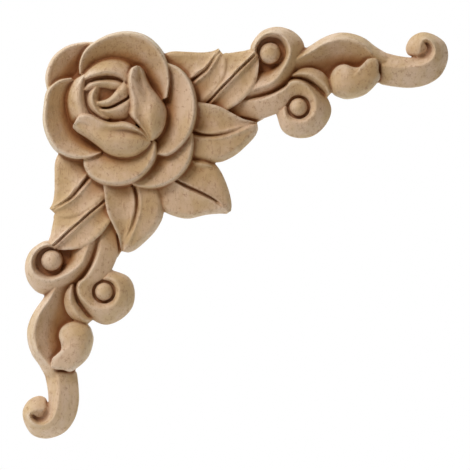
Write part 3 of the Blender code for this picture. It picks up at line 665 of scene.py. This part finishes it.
band(
    "rolled_leaf",
    [
        ((41.5, 9.5), (42.6, 15.4)),
        ((44.6, 9.8), (45.2, 16.9)),
        ((48.0, 9.6), (48.4, 19.0)),
        ((51.2, 9.4), (51.8, 20.3)),
        ((54.4, 9.2), (55.2, 20.3)),
        ((57.6, 9.2), (58.5, 19.2)),
        ((60.4, 9.6), (61.0, 17.4)),
        ((63.0, 10.4), (63.8, 15.8)),
        ((65.6, 11.0), (66.4, 14.8)),
    ],
    ridge(
        [3.2, 2.6, 2.2, 1.9, 2.1, 2.4, 3.0, 3.2, 2.8],
        [5.4, 6.2, 6.8, 7.0, 7.0, 6.8, 6.2, 4.9, 3.6],
        [2.8, 2.6, 2.6, 2.6, 2.6, 2.6, 2.6, 2.6, 2.6],
        [0.7, 0.74, 0.8, 0.82, 0.82, 0.78, 0.66, 0.55, 0.5],
        cup=2.1,
        roll=1.35,
    ),
    mirrored=True,
)
boss(
    "bulb",
    [
        (62.2, 9.3),
        (61.9, 11.5),
        (61.8, 13.2),
        (61.2, 14.2),
        (59.4, 14.1),
        (58.3, 13.1),
        (57.2, 12.1),
        (55.8, 12.1),
        (53.9, 12.7),
        (52.0, 12.2),
        (50.7, 10.6),
        (50.3, 8.3),
        (51.2, 5.9),
        (52.9, 4.9),
        (55.3, 4.6),
        (59.2, 5.9),
    ],
    (55.4, 9.0),
    dome([5.2, 6.4, 6.6, 5.8, 5.2, 3.6, 3.0, 3.0, 5.2], 7.6, 2.1),
    mirrored=True,
)
band(
    "tail",
    [
        ((59.5, 17.4), (60.4, 8.0)),
        ((62.0, 16.3), (62.2, 8.7)),
        ((62.8, 16.1), (63.0, 8.3)),
        ((66.0, 15.3), (66.5, 7.8)),
        ((69.0, 14.9), (70.0, 7.7)),
        ((71.6, 14.9), (73.6, 8.5)),
        ((73.4, 15.4), (76.6, 10.4)),
        ((74.2, 16.4), (78.2, 13.2)),
        ((74.2, 17.4), (78.6, 16.1)),
        ((73.6, 18.2), (77.6, 18.8)),
        ((72.9, 18.5), (74.8, 20.6)),
        ((72.9, 18.2), (72.0, 21.0)),
        ((73.3, 17.6), (69.6, 19.7)),
        ((73.4, 16.9), (68.5, 17.5)),
        ((73.0, 16.1), (68.9, 15.8)),
        ((72.2, 15.7), (70.2, 15.1)),
    ],
    ridge(
        [2.4, 2.4, 2.6, 2.8, 3.0, 3.2, 3.6, 3.8, 3.8, 3.8, 4.0, 4.2, 4.2, 4.0, 3.6, 3.2],
        [3.2, 3.9, 5.3, 5.6, 5.8, 5.9, 6.0, 6.0, 6.0, 5.9, 5.7, 5.5, 5.4, 5.2, 4.8, 4.2],
        [2.4],
        [0.5, 0.46, 0.44, 0.4, 0.34, 0.3, 0.26, 0.24, 0.22, 0.24, 0.3, 0.34, 0.36, 0.34, 0.34, 0.4],
        cup=1.0,
        roll=1.25,
        edge=0.15,
    ),
    mirrored=True,
)
boss("curl_floor", circle((72.5, 16.9), 2.45, 7), (72.1, 16.75), level(CURL_EYE), mirrored=True)

# The whole carving, joined from its forms, sanded soft at the edges and sawn flat at the back, where it is
# glued to a door, a frame or a wall.
GRAIN_SIZE = 0.17  # millimetres between the finished surface's points
MOST_TRIANGLES = 180000
SHARP = 70  # degrees at which an edge, such as the sawn back's, is no longer shaded as rounded


def finished(mesh, name, modifiers):
    """The mesh with the modifiers applied."""
    work = bpy.data.objects.new(name, mesh)
    bpy.context.scene.collection.objects.link(work)
    for kind, settings in modifiers:
        modifier = work.modifiers.new(kind.lower(), kind)
        for key, value in settings.items():
            setattr(modifier, key, value)
    result = bpy.data.meshes.new_from_object(work.evaluated_get(bpy.context.evaluated_depsgraph_get()))
    bpy.data.objects.remove(work)
    return result


rough = bpy.data.meshes.new("rough_carving")
carved.to_mesh(rough)
carved.free()
joined = finished(rough, "joining", [("REMESH", {"mode": "VOXEL", "voxel_size": GRAIN_SIZE * MM})])
share = min(1.0, MOST_TRIANGLES / (2 * len(joined.polygons)))
sanded = finished(
    joined,
    "sanding",
    [
        ("SMOOTH", {"factor": 0.5, "iterations": 1}),
        ("DECIMATE", {"decimate_type": "COLLAPSE", "ratio": share}),
    ],
)

onlay_bm = bmesh.new()
onlay_bm.from_mesh(sanded)
cut = bmesh.ops.bisect_plane(
    onlay_bm,
    geom=onlay_bm.verts[:] + onlay_bm.edges[:] + onlay_bm.faces[:],
    plane_co=(0, 0, 0),
    plane_no=(0, 1, 0),
    clear_outer=True,
)
back_edge = [e for e in cut["geom_cut"] if isinstance(e, bmesh.types.BMEdge)]
for face in onlay_bm.faces:
    face.smooth = True
flat_back = bmesh.ops.triangle_fill(onlay_bm, edges=back_edge, use_beauty=True)["geom"]
for face in [f for f in flat_back if isinstance(f, bmesh.types.BMFace)]:
    face.smooth = False
bmesh.ops.recalc_face_normals(onlay_bm, faces=onlay_bm.faces)
onlay_mesh = bpy.data.meshes.new("corner_onlay_carving")
onlay_bm.to_mesh(onlay_mesh)
onlay_bm.free()
onlay_mesh.set_sharp_from_angle(angle=math.radians(SHARP))

onlay = bpy.data.objects.new("corner_onlay_carving", onlay_mesh)
bpy.context.scene.collection.objects.link(onlay)
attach(onlay, "root")
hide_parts("corner_onlay")

# How far each spot lies below or above the wood round it. These measures paint shade into the creases,
# hollows and low places, and a painted highlight onto the crests.
CELL = 0.25  # millimetres across one cell of the height map
MARGIN = 4  # millimetres of air kept round the onlay on the map
AIR = 1.6  # the height that the air beyond the edge counts for
LOWEST = 0.2  # the least height that counts as wood


def blurred(field, reach):
    """The field averaged over a round neighbourhood of the given reach in millimetres."""
    steps = int(3 * reach / CELL)
    weights = np.exp(-0.5 * (np.arange(-steps, steps + 1) * CELL / reach) ** 2)
    weights /= weights.sum()
    for axis in (0, 1):
        field = np.apply_along_axis(np.convolve, axis, field, weights, mode="same")
    return field


def spots(mesh):
    """The mesh's points in millimetres."""
    places = np.empty(len(mesh.vertices) * 3)
    mesh.vertices.foreach_get("co", places)
    return places.reshape(-1, 3) / MM


surface = spots(joined)
corner = surface.min(axis=0) - MARGIN
finish = spots(onlay_mesh)


def cells(places):
    """Where the places lie on the height map, counted in cells across and up."""
    return (places[:, 0] - corner[0]) / CELL, (places[:, 2] - corner[2]) / CELL


column, row = (line.astype(int) for line in cells(surface))
beyond = int(MARGIN / CELL) + 1
top = np.zeros((column.max() + beyond, row.max() + beyond))
np.maximum.at(top, (column, row), -surface[:, 1])
there = top > LOWEST
around = np.where(there, top, AIR)


def sampled(field):
    """The field at each finished spot, blended between the four nearest cells."""
    across, up = (line - 0.5 for line in cells(finish))
    column, row = np.floor(across).astype(int), np.floor(up).astype(int)
    across, up = across - column, up - row
    left = field[column, row] * (1 - up) + field[column, row + 1] * up
    right = field[column + 1, row] * (1 - up) + field[column + 1, row + 1] * up
    return left * (1 - across) + right * across


# The share of wood round each spot tells how near the sawn edge it is. The painted shade and highlight fade
# out there.
EDGE_BLUR, EDGE_NONE, EDGE_FULL = 1.0, 0.6, 0.9
cover = sampled(blurred(there.astype(float), EDGE_BLUR))
inside = np.clip((cover - EDGE_NONE) / (EDGE_FULL - EDGE_NONE), 0, 1) * np.clip(-finish[:, 1], 0, 1)


def difference(reach):
    """How far each spot lies under the average height within reach, in millimetres."""
    return (sampled(blurred(around, reach)) + finish[:, 1]) * inside


# Each tone has its reach, and the difference at which it is full. Crease, hollow and low are painted shade;
# a crest lies above the average and takes a painted highlight.
for name, reach, full in (
    ("crease", 0.7, 1.0),
    ("hollow", 3.2, 2.5),
    ("low", 8.0, 2.0),
    ("crest", 0.7, -0.8),
):
    values = np.clip(difference(reach) / full, 0, 1)
    onlay_mesh.attributes.new(name, "FLOAT", "POINT").data.foreach_set("value", values.astype(np.float32))

# The wood: a pale close-grained board, bare and sanded. Short dark pores run along the grain, broad bands
# of growth shift its tone, painted shade browns the hollows and a painted highlight pales the crests.
PALE = (0.61, 0.43, 0.295, 1)
TAN = (0.50, 0.33, 0.165, 1)
LOW_SHADE = (0.34, 0.20, 0.08, 1)
HOLLOW_SHADE = (0.40, 0.19, 0.065, 1)
PORE_AND_SHADE_BROWN = (0.20, 0.06, 0.012, 1)
CREST_HIGHLIGHT = (0.72, 0.63, 0.53, 1)

wood = bpy.data.materials.new("carved_wood")
wood.use_nodes = True
tree = wood.node_tree
shader = tree.nodes["Principled BSDF"]
shader.inputs["Specular IOR Level"].default_value = 0.3


def node(kind, settings=None, **inputs):
    """A node of the wood, with its settings, and its inputs given as numbers or as other sockets."""
    made = tree.nodes.new(kind)
    for key, value in (settings or {}).items():
        setattr(made, key, value)
    for key, value in inputs.items():
        socket = made.inputs[key]
        if isinstance(value, bpy.types.NodeSocket):
            tree.links.new(value, socket)
        else:
            socket.default_value = value
    return made


def mixed(share, first, second):
    """The second colour laid over the first by the share."""
    made = node("ShaderNodeMix", {"data_type": "RGBA"})
    for index, value in ((0, share), (6, first), (7, second)):
        if isinstance(value, bpy.types.NodeSocket):
            tree.links.new(value, made.inputs[index])
        else:
            made.inputs[index].default_value = value
    return made.outputs[2]


def shifted(value, low, high, to_low=0.0, to_high=1.0):
    """The value moved smoothly from one range to another."""
    made = node("ShaderNodeMapRange", {"interpolation_type": "SMOOTHSTEP"}, Value=value)
    for key, number in (("From Min", low), ("From Max", high), ("To Min", to_low), ("To Max", to_high)):
        made.inputs[key].default_value = number
    return made.outputs[0]


def amount(name):
    """One of the tones of painted shade or highlight worked out above."""
    return node("ShaderNodeAttribute", {"attribute_name": name}).outputs["Fac"]


place = node("ShaderNodeTexCoord").outputs["Object"]
slant = (0.0, math.radians(38), 0.0)  # the grain runs aslant across the corner
along_grain = node("ShaderNodeMapping", Vector=place, Scale=(1.0, 1.0, 0.16), Rotation=slant).outputs[0]
cloud = node("ShaderNodeTexNoise", Vector=place, Scale=90.0, Detail=4.0, Roughness=0.6).outputs[0]
growth = node("ShaderNodeTexNoise", Vector=along_grain, Scale=420.0, Detail=4.0, Roughness=0.6).outputs[0]
pores = node("ShaderNodeTexNoise", Vector=along_grain, Scale=2600.0, Detail=2.0, Roughness=0.5).outputs[0]
speckle = node("ShaderNodeTexNoise", Vector=place, Scale=900.0, Detail=4.0, Roughness=0.75).outputs[0]

colour = mixed(shifted(cloud, 0.36, 0.6, 0.1), TAN, PALE)
# Each layer over it: what it follows, the range in which it comes in, its most, and its colour.
for follows, start, full, most, tone in (
    (growth, 0.4, 0.7, 0.4, TAN),
    # painted shade: low places, far below the wood round them, are browned as if shaded
    (amount("low"), 0.0, 0.8, 0.5, LOW_SHADE),
    # painted highlight: crests above the wood round them are paled as if lit
    (amount("crest"), 0.05, 0.9, 0.3, CREST_HIGHLIGHT),
    (pores, 0.58, 0.74, 0.35, PORE_AND_SHADE_BROWN),
    (speckle, 0.52, 0.7, 0.45, PORE_AND_SHADE_BROWN),
    # painted shade: hollows go warm brown, and the deepest of them dark brown
    (amount("hollow"), 0.0, 0.7, 0.75, HOLLOW_SHADE),
    (amount("hollow"), 0.5, 1.0, 0.55, PORE_AND_SHADE_BROWN),
    # painted shade: narrow creases go dark brown
    (amount("crease"), 0.1, 0.9, 0.7, PORE_AND_SHADE_BROWN),
):
    colour = mixed(shifted(follows, start, full, 0.0, most), colour, tone)
tree.links.new(colour, shader.inputs["Base Color"])
tree.links.new(shifted(speckle, 0.3, 0.7, 0.55, 0.72), shader.inputs["Roughness"])
ripple = node("ShaderNodeTexNoise", Vector=place, Scale=350.0, Detail=3.0, Roughness=0.5).outputs[0]
marks = node("ShaderNodeBump", Height=ripple, Strength=0.8, Distance=0.0006).outputs[0]
fibres = node("ShaderNodeBump", Height=pores, Strength=0.25, Distance=0.00012, Normal=marks).outputs[0]
tree.links.new(fibres, shader.inputs["Normal"])
onlay_mesh.materials.append(wood)

# The setting: a pale floor below the onlay, a glowing white sheet close behind it that the camera doesn't
# see, an even white surround, soft lamps from the upper left, and the camera square to the onlay's face.
MIDDLE = Vector((0.0287, 0, -0.0287))
FLOOR_BELOW = 0.0813
BACKING_BEHIND = 0.0008
CAMERA_AWAY = 0.94
PHOTO_TURN = -1.5  # degrees that the onlay lies askew in the photo


def sheet(name, size, middle, tilt, paleness, glow):
    """A square sheet of the setting."""
    bm = bmesh.new()
    bmesh.ops.create_grid(bm, x_segments=1, y_segments=1, size=size)
    bmesh.ops.rotate(bm, verts=bm.verts, matrix=Matrix.Rotation(math.radians(tilt), 3, "X"))
    bmesh.ops.translate(bm, verts=bm.verts, vec=middle)
    mesh = bpy.data.meshes.new(name)
    bm.to_mesh(mesh)
    bm.free()
    made = bpy.data.objects.new(name, mesh)
    bpy.context.scene.collection.objects.link(made)
    plain = bpy.data.materials.new(name)
    plain.use_nodes = True
    surface = plain.node_tree.nodes["Principled BSDF"].inputs
    surface["Base Color"].default_value = (paleness, paleness, paleness, 1)
    surface["Roughness"].default_value = 0.8
    surface["Emission Color"].default_value = (0.8, 0.93, 1, 1)
    surface["Emission Strength"].default_value = glow
    mesh.materials.append(plain)
    return made


sheet("floor", 0.35, MIDDLE - Vector((0, 0, FLOOR_BELOW)), 0, 0.85, 0.0)
sheet("backing", 0.2, MIDDLE + Vector((0, BACKING_BEHIND, 0)), 90, 0.05, 1.45).visible_camera = False

world = bpy.data.worlds.new("white_surround")
world.use_nodes = True
sky = world.node_tree
seen = sky.nodes["Background"]
seen.inputs["Color"].default_value = (1, 1, 1, 1)
seen.inputs["Strength"].default_value = 1.0
lit = sky.nodes.new("ShaderNodeBackground")
lit.inputs["Color"].default_value = (1.0, 0.79, 0.54, 1)
lit.inputs["Strength"].default_value = 0.21
which = sky.nodes.new("ShaderNodeMixShader")
sky.links.new(sky.nodes.new("ShaderNodeLightPath").outputs["Is Camera Ray"], which.inputs[0])
sky.links.new(lit.outputs[0], which.inputs[1])
sky.links.new(seen.outputs[0], which.inputs[2])
sky.links.new(which.outputs[0], sky.nodes["World Output"].inputs["Surface"])
bpy.context.scene.world = world


def lamp(name, place, power, size, tint):
    """A soft square lamp that faces the onlay's middle."""
    light = bpy.data.lights.new(name, "AREA")
    light.energy = power
    light.size = size
    light.color = tint
    made = bpy.data.objects.new(name, light)
    made.location = place
    made.rotation_euler = (MIDDLE - Vector(place)).to_track_quat("-Z", "Y").to_euler()
    bpy.context.scene.collection.objects.link(made)


lamp("key_lamp", (-0.40, -0.55, 0.52), 4.7, 0.3, (1.0, 0.98, 0.97))
lamp("raking_lamp", (-0.45, -0.14, 0.55), 2.1, 0.2, (0.78, 0.92, 1.0))
lamp("fill_lamp", (0.4, -0.25, -0.45), 1.2, 0.3, (1.0, 0.66, 0.3))

camera_data = bpy.data.cameras.new("camera")
camera_data.lens = 300
camera_data.sensor_width = 36
camera = bpy.data.objects.new("camera", camera_data)
camera.location = MIDDLE + Vector((0, -CAMERA_AWAY, 0))
camera.rotation_euler = (math.radians(90), math.radians(PHOTO_TURN), 0)
bpy.context.scene.collection.objects.link(camera)
bpy.context.scene.camera = camera
bpy.context.scene.view_settings.view_transform = "Standard"
